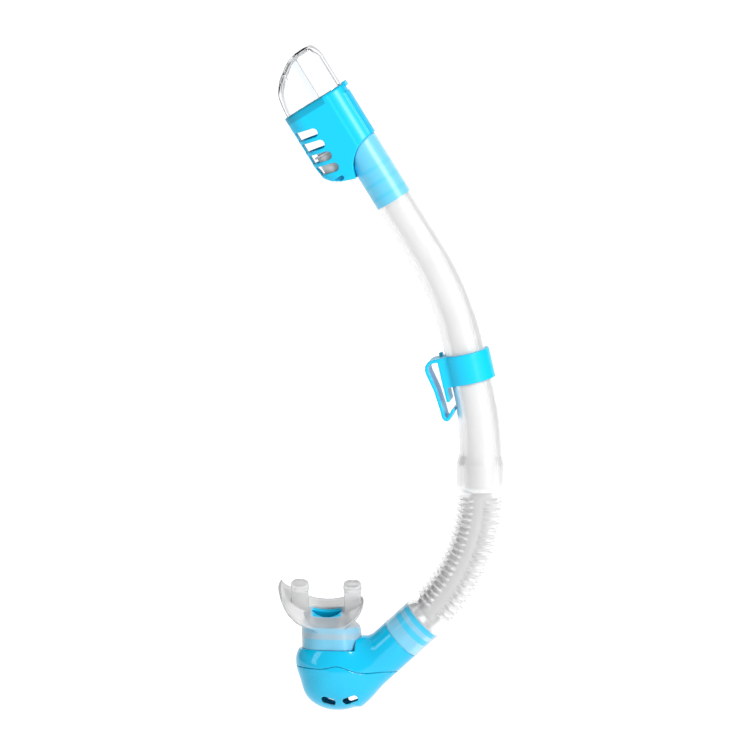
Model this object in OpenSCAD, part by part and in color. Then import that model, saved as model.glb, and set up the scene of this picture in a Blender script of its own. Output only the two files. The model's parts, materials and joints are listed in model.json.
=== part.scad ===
// Dry-top snorkel: float valve head, frosted tube, mask keeper, corrugated hose, purge chamber, mouthpiece.
// The tube's curve lies in the XZ plane, +Z is up, and the origin is the middle of the keeper's strap slot.

/* [Tube] */
// Outer diameter of the tube where it meets the float head
tube_top_od = 25.2; // [24:0.1:26]
// Outer diameter of the straight land that the keeper turns on
land_od = 27.2; // [27:0.1:27.6]
// Outer diameter of the tube just above its bell
tube_low_od = 29; // [28.6:0.1:29.4]
// Wall of the tube
tube_wall = 2; // [1.8:0.1:2.2]
// Tilt from vertical of the tube's top stretch and the float head
head_tilt = 32; // [30:0.5:34]
// Tilt from vertical of the keeper's land
land_tilt = 13; // [12:0.5:14]
// Length of the straight top stretch
top_length = 40; // [38:1:42]
// Length of the keeper's land
land_length = 32; // [30:1:34]
// Bend radius between the top stretch and the land
upper_bend = 200; // [190:5:210]
// Bend radius between the land and the bell
lower_bend = 190; // [180:5:200]

/* [Bell and hose] */
// Outer diameter of the bell at the tube's lower end
bell_od = 32.4; // [32:0.1:33]
// Length of the bell
bell_length = 25; // [24:0.5:26]
// Bend radius of the hose's middle line as moulded
hose_bend = 120; // [115:1:125]
// Angle that the hose turns through as moulded
hose_turn = 47; // [45:0.5:48]
// Outer diameter of the hose between its ribs
hose_core_od = 25; // [24.6:0.1:25.4]
// Outer diameter over the hose's ribs
hose_rib_od = 31; // [30.4:0.1:31.4]
// Bore of the hose
hose_bore = 21; // [20.6:0.1:21.4]
// Number of ribs round the hose
rib_count = 19; // [17:1:20]

/* [Float head] */
// Outer radius of the round front of the float chamber
front_r = 13.3; // [13.1:0.1:13.5]
// Distance from the tube's axis to the centre of the round front
front_reach = 21; // [20.5:0.1:21.5]
// Wall of the head's moulding
head_wall = 2; // [1.8:0.1:2.2]
// Height of the head's rim above the tube cuff's lower edge
rim_height = 84; // [83:0.5:85]
// Height of the float
float_height = 16.5; // [16:0.5:17]
// Number of slots on each side
slot_count = 4; // [3:1:4]
// Distance from slot to slot
slot_pitch = 9.2; // [9.1:0.1:9.4]
// Height of a slot
slot_height = 6.5; // [6:0.1:6.6]

/* [Chamber] */
// Radius of the chamber's bowl seen from the front
bowl_r = 27; // [26.5:0.5:27.5]
// Half of the bowl's depth from front to back
bowl_half_depth = 22; // [21.5:0.5:22.5]
// Wall of the chamber's mouldings
chamber_wall = 2; // [1.8:0.1:2.2]
// Outer diameter of the hose cuff and the chamber's branch
branch_od = 30.4; // [30:0.1:30.6]
// How far the chamber's neck leans back
chamber_lean = 5; // [4:0.5:6]

/* [Mouthpiece] */
// Width of the flange across its ends
flange_width = 57; // [55:1:59]
// Height of the flange
flange_height = 31; // [29:1:32]
// Tilt of the mouth opening towards the front
mouth_tilt = 36; // [34:1:38]

/* [Keeper] */
// Height of the keeper's band along the tube
band_height = 20; // [19:0.5:20.5]
// Wall of the band
band_wall = 2.2; // [2:0.1:2.3]
// Width of the hook plates, which is the strap slot's depth
hook_width = 20; // [18:1:20]

/* [Hidden] */
$fn = 64;
fit = 0.05;              // radial gap of parts that are pushed together
running = 0.08;          // radial gap of parts that turn or slide
big = 200;               // larger than any part, for cutting
lap = 0.4;               // how far a straight stretch runs into the bend next to it
shy = 0.04;              // how much thinner it is there, so that no two faces coincide

// ---- The middle line, worked out up and down from the keeper's land ----
land_r = land_od / 2;
slot_reach = 21.4;       // from the land's axis to the middle of the strap slot
slot_drop = 3;           // how far the middle of the slot is below the middle of the band
function down(tilt) = [sin(tilt), -cos(tilt)];
function side(tilt) = [cos(tilt), sin(tilt)];
land_mid = slot_reach * side(land_tilt) - slot_drop * down(land_tilt);
land_top = land_mid - land_length / 2 * down(land_tilt);
land_end = land_mid + land_length / 2 * down(land_tilt);
upper_centre = land_top - upper_bend * side(land_tilt);
bend_top = upper_centre + upper_bend * side(head_tilt);
head_base = bend_top - top_length * down(head_tilt);
lower_centre = land_end - lower_bend * side(land_tilt);
bell_top = lower_centre + lower_bend * side(0);
bell_end = bell_top + bell_length * down(0);
hose_centre = bell_end - hose_bend * side(0);
hose_end = hose_centre + hose_bend * side(-hose_turn);
cuff_length = 21.4;      // hose cuff over the chamber's spigot
cuff_end = hose_end + cuff_length * down(-hose_turn);

// Puts a child at a point of the XZ plane, with +Z up along the tube there and +X to its back.
module along(point, tilt) {
    translate([point.x, 0, point.y]) rotate([0, -tilt, 0]) children();
}

// Turns a 2D section at the given radius about an axis along Y, between two tilts.
module bent(centre, radius, low_tilt, high_tilt) {
    translate([centre.x, 0, centre.y]) rotate([90, 0, 0])
        rotate_extrude(start = low_tilt, angle = high_tilt - low_tilt, $fn = 180)
            translate([radius, 0]) children();
}

// A round bar or ring between two heights.
module ring(r_out, r_in, low, high) {
    difference() {
        translate([0, 0, low]) cylinder(r = r_out, h = high - low);
        if (r_in > 0) translate([0, 0, low - 1]) cylinder(r = r_in, h = high - low + 2);
    }
}

// A round-ended outline: a half_wide by half_deep oval made of two circles and a bar.
module oval(half_wide, half_deep) {
    reach = half_wide - half_deep;
    for (s = [-1, 1]) translate([s * reach, 0]) circle(r = half_deep);
    square([2 * reach, 2 * half_deep - 0.05], center = true);
}

// ---- Upper tube ----
cuff_curve_r = 25.7;     // the cuff's top edge and the head's bottom edge share this curve
cuff_curve = [12.6, 20]; // its centre, from the head's base
tube_top_r = tube_top_od / 2;
tube_low_r = tube_low_od / 2;
upper_bend_r = (tube_top_r + land_r) / 2;
lower_bend_r = (tube_low_r + land_r) / 2;
land_flare = 4;          // length of the cone between the land and each bend
socket_r = 13.6;         // the bell's bore, which takes the hose
socket_depth = 18;
spigot_r = tube_top_r - tube_wall;
module cuff_shape(grow = 0) {
    translate([cuff_curve.x, 0, cuff_curve.y]) {
        rotate([90, 0, 0])
            cylinder(r = cuff_curve_r + grow, h = big, center = true, $fn = 128);
        translate([0, 0, -big / 2]) cube(big, center = true);
    }
}
// The tube's outer form, or its bore when inset is the wall.
module tube_form(inset) {
    plain = land_length / 2 - land_flare;
    along(head_base, head_tilt) translate([0, 0, -top_length - lap])
        cylinder(r1 = upper_bend_r - inset - shy, r2 = tube_top_r - inset, h = top_length + lap);
    bent(upper_centre, upper_bend, land_tilt, head_tilt) circle(r = upper_bend_r - inset, $fn = 64);
    along(land_mid, land_tilt) {
        translate([0, 0, plain])
            cylinder(r1 = land_r - inset, r2 = upper_bend_r - inset - shy, h = land_flare + lap);
        translate([0, 0, -plain]) cylinder(r = land_r - inset, h = 2 * plain);
        translate([0, 0, -plain - land_flare - lap])
            cylinder(r1 = lower_bend_r - inset - shy, r2 = land_r - inset, h = land_flare + lap);
    }
    bent(lower_centre, lower_bend, 0, land_tilt) circle(r = lower_bend_r - inset, $fn = 64);
}
module upper_tube() color([0.9, 0.92, 0.94, 0.8]) {
    difference() {
        union() {
            tube_form(0);
            along(head_base, head_tilt) intersection() {
                cylinder(r = tube_top_r, h = 50);
                cuff_shape(-fit);
            }
            along(bell_end, 0) {
                cylinder(r1 = bell_od / 2 - 2.2, r2 = bell_od / 2, h = 3.4);
                translate([0, 0, 3.4]) cylinder(r = bell_od / 2, h = 15.6);
                translate([0, 0, 19])
                    cylinder(r1 = bell_od / 2, r2 = lower_bend_r - shy, h = bell_length - 19 + lap);
            }
        }
        tube_form(tube_wall);
        along(head_base, head_tilt) cylinder(r = spigot_r, h = big);
        along(bell_end, 0) {
            translate([0, 0, -1]) cylinder(r = socket_r, h = socket_depth + 1);
            cylinder(r = lower_bend_r - tube_wall - shy, h = bell_length + lap);
        }
    }
}

// ---- Float head: the frame is the head's base, +Z along the tube and -X to the front ----
chamber_floor = 34;      // inside bottom of the float chamber
seat_level = 75;         // underside of the valve seat plate
seat_thick = 2;
port_r = 5.6;
float_low = 34.6;
duct_r = tube_top_r - head_wall;
module head_frame() along(head_base, head_tilt) children();

// Outline of the head across the tube's axis, shrunk by inset all round.
module head_section(inset = 0) {
    circle(r = tube_top_r - inset);
    translate([-front_reach, 0]) circle(r = front_r - inset);
    translate([-front_reach, inset - front_r + 0.12])
        square([front_reach, 2 * (front_r - inset - 0.12)]);
}

// Outline of the head from its side.
module head_side(inset = 0) {
    front = -front_reach - front_r + inset;
    polygon([[front, rim_height + 1], [front, 45], [front + 1.4, 38.5 + inset],
        [front + 4.6, 33.4 + inset], [front + 9, 30 + inset], [front + 14, 28 + inset],
        [front + 20, 26.6 + inset], [-8, 26 + inset], [14, 26 + inset], [14, rim_height + 1]]);
}

// One slot through both sides from the float chamber to the spine at the front.
module cage_slot(index) {
    tip = [-20 - slot_height / 2, 65.6 - index * slot_pitch];
    translate([tip.x, 0, tip.y]) rotate([0, 13, 0]) {
        rotate([90, 0, 0]) cylinder(r = slot_height / 2, h = 40, center = true);
        translate([-10, 0, 0]) cube([20, 40, slot_height], center = true);
    }
}
module float_cage() color([0.0, 0.72, 0.93]) head_frame() {
    difference() {
        union() {
            difference() {
                intersection() {
                    linear_extrude(rim_height) head_section();
                    rotate([90, 0, 0]) linear_extrude(60, center = true) head_side();
                }
                cuff_shape(fit);
            }
            // spigot inside the tube's cuff, with two barbs
            cylinder(r = spigot_r - fit, h = 50);
            for (h = [8, 15]) translate([0, 0, h]) cylinder(r = spigot_r - fit / 2, h = 2);
        }
        // the float chamber, in front of the air duct's wall
        difference() {
            intersection() {
                translate([0, 0, chamber_floor]) linear_extrude(big) head_section(head_wall);
                rotate([90, 0, 0]) linear_extrude(60, center = true) head_side(head_wall);
            }
            cylinder(r = tube_top_r - 0.01, h = seat_level);
            translate([-4, -30, 0]) cube([30, 60, seat_level]);
        }
        // the air duct, narrow in the spigot and wide above it
        translate([0, 0, -1]) cylinder(r = spigot_r - 1.8, h = big);
        translate([0, 0, 50]) cylinder(r = duct_r, h = big);
        // ledge that the seat plate and the dome's skirt stand on
        translate([0, 0, seat_level]) linear_extrude(big) head_section(head_wall);
        // side slots, which leave a spine down the front
        difference() {
            for (i = [0 : slot_count - 1]) cage_slot(i);
            translate([-front_reach - front_r - 1, -2.2, 0]) cube([6, 4.4, big]);
        }
        // drain hole in the floor
        translate([-22.5, 0, 20]) rotate([0, 12, 0]) cylinder(r = 3.6, h = 20);
        // window in the back of the rim, where the dome's latch shows
        translate([4, -30, rim_height - 5]) cube([5.5, 22, 10]);
    }
    // latch tab behind the rim
    translate([tube_top_r - 0.6, -4, rim_height - 2.5]) cube([2.2, 8, 3.4]);
}

// Clear dome: one moulding with a skirt inside the rim and a post between float chamber and duct.
dome_wall = 1.5;
dome_base = seat_level + seat_thick + 1.2;
module dome_side(inset = 0) {
    back = 9.6 - inset;
    front = -33.2 + inset;
    polygon([[front, dome_base - 5], [front, 90], [front + 1.6, 97 - inset],
        [front + 4.6, 103 - inset], [front + 9.4, 109.5 - inset], [front + 15.6, 114 - inset],
        [front + 22, 116 - inset], [front + 29, 118 - inset], [front + 34, 118.4 - inset],
        [back - 5, 117.8 - inset], [back - 1.6, 114.4 - inset], [back, 108.4], [back, dome_base - 5]]);
}
module dome_block(inset) {
    intersection() {
        translate([0, 0, dome_base]) linear_extrude(big) head_section(head_wall + fit + inset);
        rotate([90, 0, 0]) linear_extrude(60, center = true) dome_side(inset);
    }
}
module head_dome() color([0.93, 0.97, 1.0, 0.4]) head_frame() {
    difference() {
        dome_block(0);
        translate([0, 0, -0.01]) dome_block(dome_wall);
    }
    // post down the middle, flat against the dome's roof
    intersection() {
        translate([-11.3, -1.5, rim_height]) cube([4.7, 3, 60]);
        dome_block(dome_wall / 2);
    }
}
module dome_gasket() color([0.85, 0.9, 0.92]) head_frame() {
    translate([0, 0, seat_level + seat_thick]) linear_extrude(1.2) difference() {
        head_section(head_wall + 0.1);
        head_section(head_wall + 1.9);
    }
}
module valve_seat_plate() color([0.85, 0.93, 0.97]) head_frame() {
    difference() {
        union() {
            translate([0, 0, seat_level]) linear_extrude(seat_thick) head_section(head_wall + 0.1);
            translate([-front_reach + 0.4, 0, seat_level - 1.2]) cylinder(r = port_r + 2, h = 1.3);
        }
        translate([-front_reach + 0.4, 0, 0]) cylinder(r = port_r, h = big);
        translate([0, 0, 0]) cylinder(r = duct_r, h = big);
    }
}

// The float is a sealed block that fits round the duct's wall.
float_gap = 1.6;
float_wall = 1.2;
module float_section(inset = 0) {
    difference() {
        union() {
            translate([-front_reach, 0]) circle(r = front_r - head_wall - float_gap - inset);
            translate([-front_reach, inset - 10.4]) square([11.4 - inset, 2 * (10.4 - inset)]);
        }
        circle(r = tube_top_r + float_gap + inset);
    }
}
module float_side(inset) {
    front = -front_reach - front_r + head_wall + float_gap + inset;
    low = float_low + inset;
    high = float_low + float_height;
    polygon([[front, high], [front, 47], [front + 1.4, 42 + inset], [front + 4.6, 37.4 + inset],
        [front + 8, low + 0.4], [front + 10, low], [-5, low], [-5, high]]);
}
module float_shell() color([0.86, 0.87, 0.88]) head_frame() {
    difference() {
        intersection() {
            linear_extrude(float_low + float_height - float_wall) float_section();
            rotate([90, 0, 0]) linear_extrude(60, center = true) float_side(0);
        }
        intersection() {
            linear_extrude(big) float_section(float_wall);
            rotate([90, 0, 0]) linear_extrude(60, center = true) float_side(float_wall);
            translate([-40, -30, 0]) cube([60, 60, float_low + float_height]);
        }
    }
}
module float_cap() color([0.8, 0.82, 0.84]) head_frame() {
    top = float_low + float_height;
    translate([0, 0, top - float_wall]) linear_extrude(float_wall) float_section();
    translate([0, 0, top - float_wall - 2]) linear_extrude(2.01) float_section(float_wall + 0.1);
    translate([-front_reach + 0.4, 0, top - 0.01]) cylinder(r = 2.2, h = 1.2);
}
module float_seal() color([0.75, 0.78, 0.8]) head_frame() {
    translate([-front_reach + 0.4, 0, float_low + float_height]) difference() {
        cylinder(r = port_r + 1.9, h = 2);
        translate([0, 0, -1]) cylinder(r = 2.2 + fit, h = 2.2 + fit);
    }
}

// ---- Keeper: a band that turns on the land, with a hook for the mask strap ----
band_r = land_r + running;
tongue_face = 18.3;      // the tongue's strap side, from the land's axis
tongue_thick = 2.2;
tongue_low = -19.7;      // lower end of the tongue, from the middle of the band
hook_thick = 2;
lip_clear = 14.9;        // nothing on the keeper below its band comes nearer the axis than this
// Middle line of the hook plate, from the band's top over to the turned-up lip.
hook_route = [[-13.5, 8.4], [-21.4, 9], [-24.4, 8.2], [-26.3, 6.2], [-26.8, 3.6], [-24, -10],
    [-22.9, -22.6], [-22.7, -29], [-21.8, -30.7], [-20.2, -31], [-18.9, -30], [-15.2, -25.4]];
hook_last = len(hook_route) - 1;
// Unit normal of the stretch that starts at point k.
function hook_normal(k) = let (step = hook_route[k + 1] - hook_route[k]) [-step.y, step.x] / norm(step);
// The corner of the plate's outline beside point k, where the faces of two stretches meet.
function hook_corner(k, reach) = let (
        before = hook_normal(max(k - 1, 0)),
        after = hook_normal(min(k, hook_last - 1)))
    hook_route[k] + reach * (before + after) / (1 + before * after);
module hook_plate() {
    half = hook_thick / 2;
    polygon([for (k = [0 : hook_last]) hook_corner(k, half), for (k = [hook_last : -1 : 0])
        hook_corner(k, -half)]);
}
module mask_keeper() color([0.0, 0.72, 0.93]) along(land_mid, land_tilt) {
    half_band = band_height / 2;
    difference() {
        union() {
            ring(band_r + band_wall, 0, -half_band, half_band);
            translate([-tongue_face, -hook_width / 2, -half_band])
                cube([tongue_face, hook_width, band_height]);
            rotate([90, 0, 0]) linear_extrude(hook_width, center = true) {
                hook_plate();
                polygon([[-tongue_face, 1], [-tongue_face, tongue_low + 1],
                    [-tongue_face + 0.6, tongue_low], [-tongue_face + tongue_thick - 0.6, tongue_low],
                    [-tongue_face + tongue_thick, tongue_low + 1], [-tongue_face + tongue_thick, 1]]);
            }
            // thumb tab above the band
            translate([-tongue_face, 3, 0]) cube([tongue_thick, 6, half_band + 2.4]);
        }
        translate([0, 0, -14]) cylinder(r = band_r, h = 40);
        translate([0, 0, -60]) cylinder(r = lip_clear, h = 60 - half_band - 0.6);
    }
}

// ---- Hose ----
cuff_r = branch_od / 2;
cuff_bore = cuff_r - 2;
barb_levels = [-5, -11];
module corrugated_hose() color([0.86, 0.88, 0.9, 0.8]) {
    mouth = hose_bore / 2;
    difference() {
        union() {
            bent(hose_centre, hose_bend, -hose_turn, 0) circle(r = hose_core_od / 2);
            pitch = (hose_turn - 6) / rib_count;
            for (i = [0 : rib_count - 1]) {
                mid = -1.6 - (i + 0.5) * pitch;
                bent(hose_centre, hose_bend, mid - 0.28 * pitch, mid + 0.28 * pitch)
                    circle(r = hose_rib_od / 2);
            }
            along(bell_end, 0) cylinder(r = socket_r - fit, h = socket_depth - 0.5);
            along(hose_end, -hose_turn) {
                translate([0, 0, -cuff_length]) cylinder(r = cuff_r, h = cuff_length);
                translate([0, 0, -0.001]) cylinder(r1 = cuff_r, r2 = hose_core_od / 2 - 0.3, h = 4.2);
            }
        }
        bent(hose_centre, hose_bend, -hose_turn, 0.2) circle(r = mouth);
        along(bell_end, 0) translate([0, 0, -0.1]) cylinder(r = mouth + 0.9, h = big);
        along(hose_end, -hose_turn) {
            translate([0, 0, -cuff_length - 1]) cylinder(r = cuff_bore, h = cuff_length - 0.7);
            translate([0, 0, -2]) cylinder(r = mouth + 0.4, h = 3.2);
            for (level = barb_levels) translate([0, 0, level - 1.1]) cylinder(r = cuff_bore + 0.5, h = 2.2);
        }
    }
}
// Stiff sleeve that grips the hose inside the tube's bell.
module hose_coupler() color([0.8, 0.85, 0.88]) along(bell_end, 0) {
    grip = hose_bore / 2 + 0.9 - fit;
    difference() {
        union() {
            translate([0, 0, 1]) cylinder(r = grip, h = socket_depth + 1);
            translate([0, 0, socket_depth - 0.4]) cylinder(r = lower_bend_r - tube_wall - shy - fit, h = 2.6);
        }
        translate([0, 0, -1]) cylinder(r = grip - 1.3, h = big);
    }
}

// ---- Purge chamber: the frame is the bowl's centre ----
bowl = cuff_end + [-42.6, -21.8];
neck_x = -7.2;           // middle of the mouthpiece's spigot
shoulder = 13.8;         // top of the chamber's moulding, where the mouthpiece begins
floor_low = -6;          // underside of the floor that holds the purge valve
floor_thick = 1.8;
skirt_top = 6.5;         // top of the skirt, above the seam's highest point
seat_hole = 15;
module bowl_frame() translate([bowl.x, 0, bowl.y]) rotate([-chamber_lean, 0, 0]) children();
module branch_frame() along(cuff_end, -hose_turn) children();
// The bowl is an ellipsoid turned about an axis from front to back.
module bowl_solid(inset) {
    rotate([90, 0, 0]) rotate_extrude($fn = 96) polygon([for (a = [-90 : 7.5 : 90])
        [(bowl_r - inset) * cos(a), (bowl_half_depth - inset) * sin(a)]]);
}
// The chamber's outer shape, shrunk by inset.
module chamber_shape(inset) {
    bowl_frame() bowl_solid(inset);
    bowl_frame() translate([neck_x, 0, -1]) linear_extrude(shoulder + 1 - inset)
        oval(20.9 - inset, 17.4 - inset);
    branch_frame() {
        translate([0, 0, -26]) cylinder(r = cuff_r - inset, h = 26 - inset);
        translate([0, 0, -46]) cylinder(r1 = cuff_r - 1.6 - inset, r2 = cuff_r - inset, h = 20);
    }
}
// Height of the wavy seam between chamber and purge cover, from the bowl's centre.
function seam(x) = 0.6 - 0.035 * (x + 26) * (x > -26 ? 1 : 0)
    + 2.6 * exp(-pow((x - 2) / 7, 2)) - 1.4 * exp(-pow((x - 20) / 8, 2));
module seam_cut(upper, gap) {
    shift = upper ? gap / 2 : -gap / 2;
    far = upper ? 90 : -90;
    bowl_frame() rotate([90, 0, 0]) linear_extrude(80, center = true)
        polygon([[-45, far], for (x = [-45 : 3 : 60]) [x, seam(x) + shift], [60, far]]);
}
module chamber_body() color([0.0, 0.62, 0.9]) {
    difference() {
        intersection() {
            chamber_shape(0);
            seam_cut(true, 0.2);
        }
        chamber_shape(chamber_wall);
        bowl_frame() translate([neck_x, 0, shoulder - 12]) linear_extrude(40) oval(17.2, 13.7);
        bowl_frame() translate([neck_x, 0, shoulder]) linear_extrude(40) oval(20.9, 17.4);
    }
    // floor, with a skirt that the cover snaps over and a collar that joins it to the wall
    difference() {
        union() {
            intersection() {
                chamber_shape(chamber_wall + 0.2);
                bowl_frame() translate([-60, -40, floor_low]) cube([140, 80, skirt_top - floor_low]);
            }
            intersection() {
                chamber_shape(chamber_wall - 0.3);
                bowl_frame() translate([-60, -40, skirt_top - 2]) cube([140, 80, 2]);
            }
        }
        intersection() {
            chamber_shape(chamber_wall + 1.8);
            bowl_frame() translate([-60, -40, floor_low + floor_thick]) cube([140, 80, 80]);
        }
        bowl_frame() translate([0, 0, floor_low - 1]) cylinder(r = seat_hole, h = 20);
    }
    // spigot for the mouthpiece
    bowl_frame() translate([neck_x, 0, shoulder - 3]) difference() {
        linear_extrude(17.5) oval(18.9, 15.4);
        translate([0, 0, -1]) linear_extrude(30) oval(17.2, 13.7);
    }
    // spigot for the hose, with its two barbs
    branch_frame() difference() {
        union() {
            translate([0, 0, -4]) cylinder(r = cuff_bore - fit, h = cuff_length + 4 - 2);
            for (level = barb_levels) translate([0, 0, cuff_length + level - 0.9])
                cylinder(r = cuff_bore + 0.4, h = 1.8);
        }
        translate([0, 0, -10]) cylinder(r = cuff_bore - 2, h = 40);
    }
}
module purge_seat_gasket() color([0.8, 0.83, 0.85]) bowl_frame()
    ring(17.6, seat_hole + 0.2, floor_low + floor_thick, floor_low + floor_thick + 1);
spoke_low = floor_low - 0.8;
module purge_valve_seat() color([0.85, 0.93, 0.97]) bowl_frame() {
    top = floor_low + floor_thick + 1;
    ring(17.6, 12.4, top, top + 1.4);
    ring(seat_hole - fit, 12.4, floor_low - 1, top + 0.1);
    difference() {
        union() {
            for (i = [0 : 5]) rotate(60 * i) translate([1.8, -0.8, spoke_low]) cube([11.4, 1.6, 1.8]);
            translate([0, 0, spoke_low]) cylinder(r = 3, h = 2.8);
        }
        translate([0, 0, floor_low - 5]) cylinder(r = 1.3, h = 20);
    }
}
purge_travel = 1.5;
module purge_valve() color([0.88, 0.9, 0.92]) bowl_frame() {
    face = floor_low - 1;
    translate([0, 0, face - 1]) cylinder(r1 = 13.6, r2 = 14, h = 0.98);
    translate([0, 0, face - 1.8]) cylinder(r1 = 3, r2 = 4.5, h = 0.81);
    translate([0, 0, face - 0.1]) cylinder(r = 1.3 - running, h = 3.2 + purge_travel);
    translate([0, 0, face + 3.1 + purge_travel]) cylinder(r1 = 2, r2 = 0.8, h = 3);
}
// One vent at the front or back, slanted like a nostril.
module vent(x, z, wide, lean, face) {
    bowl_frame() translate([x, face * 15, z]) rotate([90, lean, 0])
        linear_extrude(26, center = true) oval(wide / 2, 2.3, $fn = 32);
}
module purge_cover() color([0.0, 0.62, 0.9]) {
    difference() {
        intersection() {
            chamber_shape(0);
            seam_cut(false, 0.2);
        }
        chamber_shape(chamber_wall);
        for (face = [-1, 1]) {
            vent(-5.6, -20.6, 9.6, face * 12, face);
            vent(8.8, -20, 10.2, face * -16, face);
        }
    }
}

// ---- Mouthpiece ----
mouth_at = [neck_x - 0.4, -4, 37];
mouth_yaw = 6;
flange_bend = 31;
lug_reach = 18.2;        // from the middle of the mouth to the middle of each bite lug
module mouth_frame() bowl_frame() translate(mouth_at) rotate([mouth_tilt, 0, mouth_yaw]) children();
// Stiff oval liner that locks the mouthpiece's neck over the spigot's end.
module mouthpiece_insert() color([0.0, 0.62, 0.9]) bowl_frame()
    translate([neck_x, 0, shoulder + 14.5]) difference() {
        linear_extrude(2.4) oval(18.8, 15.3);
        translate([0, 0, -1]) linear_extrude(6) oval(15.6, 12);
    }
// Web from the flange, with the raised bite ridge at its end.
module bite_lug(x_side) mouth_frame() {
    intersection() {
        translate([x_side * lug_reach, 0, 12.5]) cube([11, 4.4, 22], center = true);
        translate([0, 0, flange_bend]) rotate([90, 0, 0])
            cylinder(r = flange_bend + 0.9, h = 40, center = true);
    }
    translate([x_side * lug_reach, 0, 22.6]) linear_extrude(3.8) oval(6, 4.9);
}
module mouthpiece() color([0.92, 0.94, 0.95, 0.7]) {
    difference() {
        union() {
            bowl_frame() translate([neck_x, 0, shoulder]) linear_extrude(17.5) oval(20.8, 17.3);
            // the neck closes in to the flange
            hull() {
                bowl_frame() translate([neck_x, 0, shoulder + 17.2]) linear_extrude(0.2)
                    oval(20.2, 16.7, $fn = 40);
                mouth_frame() translate([0, 0, 2.6]) linear_extrude(0.4) oval(15.2, 7.6, $fn = 40);
            }
            // flange, bent round the teeth
            intersection() {
                mouth_frame() translate([0, 0, flange_bend]) rotate([90, 0, 0])
                    cylinder(r = flange_bend + 1.8, h = 60, center = true, $fn = 128);
                mouth_frame() translate([0, 0, -4]) linear_extrude(25)
                    oval(flange_width / 2, flange_height / 2);
            }
        }
        mouth_frame() translate([0, 0, flange_bend]) rotate([90, 0, 0])
            cylinder(r = flange_bend, h = 80, center = true, $fn = 128);
        bowl_frame() translate([neck_x, 0, shoulder - 1]) linear_extrude(18)
            oval(18.9 + fit, 15.4 + fit);
        hull() {
            bowl_frame() translate([neck_x, 0, shoulder + 16.6]) linear_extrude(0.8)
                oval(18.3, 14.8, $fn = 40);
            mouth_frame() translate([0, 0, -2.4]) linear_extrude(0.8) oval(12.4, 5.2, $fn = 40);
        }
        mouth_frame() translate([0, 0, -3]) linear_extrude(8) oval(11.6, 4.4);
    }
    for (s = [-1, 1]) bite_lug(s);
}

upper_tube();
float_cage();
head_dome();
dome_gasket();
valve_seat_plate();
float_shell();
float_cap();
float_seal();
mask_keeper();
hose_coupler();
corrugated_hose();
chamber_body();
purge_valve_seat();
purge_seat_gasket();
purge_valve();
purge_cover();
mouthpiece_insert();
mouthpiece();
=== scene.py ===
"""Looks of the dry-top snorkel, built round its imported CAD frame."""
import json
from math import acos, cos, pi, radians, sin, tan

import bpy
import numpy as np
import openvdb
from mathutils import Matrix, Vector


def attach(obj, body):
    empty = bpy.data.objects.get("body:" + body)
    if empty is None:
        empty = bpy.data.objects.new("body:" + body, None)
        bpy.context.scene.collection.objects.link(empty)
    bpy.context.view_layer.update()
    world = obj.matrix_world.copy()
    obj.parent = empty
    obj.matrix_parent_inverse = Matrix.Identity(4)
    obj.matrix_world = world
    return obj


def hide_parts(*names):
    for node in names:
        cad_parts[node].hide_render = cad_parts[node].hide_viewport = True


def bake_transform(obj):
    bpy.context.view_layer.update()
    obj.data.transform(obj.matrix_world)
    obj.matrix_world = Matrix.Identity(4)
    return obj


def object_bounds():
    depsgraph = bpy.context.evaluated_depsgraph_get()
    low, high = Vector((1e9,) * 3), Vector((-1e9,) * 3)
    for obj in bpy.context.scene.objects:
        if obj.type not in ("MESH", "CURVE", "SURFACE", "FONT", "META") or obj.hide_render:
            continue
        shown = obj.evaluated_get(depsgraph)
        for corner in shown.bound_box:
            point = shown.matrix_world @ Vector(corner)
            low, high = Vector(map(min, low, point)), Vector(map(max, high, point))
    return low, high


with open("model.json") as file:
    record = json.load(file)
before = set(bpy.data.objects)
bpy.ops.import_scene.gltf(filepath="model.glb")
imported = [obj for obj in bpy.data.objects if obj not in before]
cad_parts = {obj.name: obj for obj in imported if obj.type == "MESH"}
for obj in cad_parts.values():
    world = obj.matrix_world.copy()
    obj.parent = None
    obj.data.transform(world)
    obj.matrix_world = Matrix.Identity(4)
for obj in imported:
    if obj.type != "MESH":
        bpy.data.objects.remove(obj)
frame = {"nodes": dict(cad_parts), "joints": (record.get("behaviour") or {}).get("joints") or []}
cad_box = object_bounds()

# ---------------------------------------------------------------- the frame's lines
# all pieces are made in millimetres, with angles in degrees, as in the CAD
MM = 0.001  # metres
HEAD_TILT, LAND_TILT, HOSE_TURN, NECK_LEAN = 32, 13, 47, 5
TOP_LENGTH, LAND_LENGTH, BELL_LENGTH, CUFF_LENGTH = 40, 32, 25, 21.4
UPPER_BEND, LOWER_BEND, HOSE_BEND = 200, 190, 120  # radii of the middle line's bends


def down(tilt):
    """Unit vector along the tube towards the mouthpiece, in the XZ plane."""
    return np.array([sin(radians(tilt)), -cos(radians(tilt))])


def side(tilt):
    """Unit vector across the tube towards its back, in the XZ plane."""
    return np.array([cos(radians(tilt)), sin(radians(tilt))])


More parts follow.
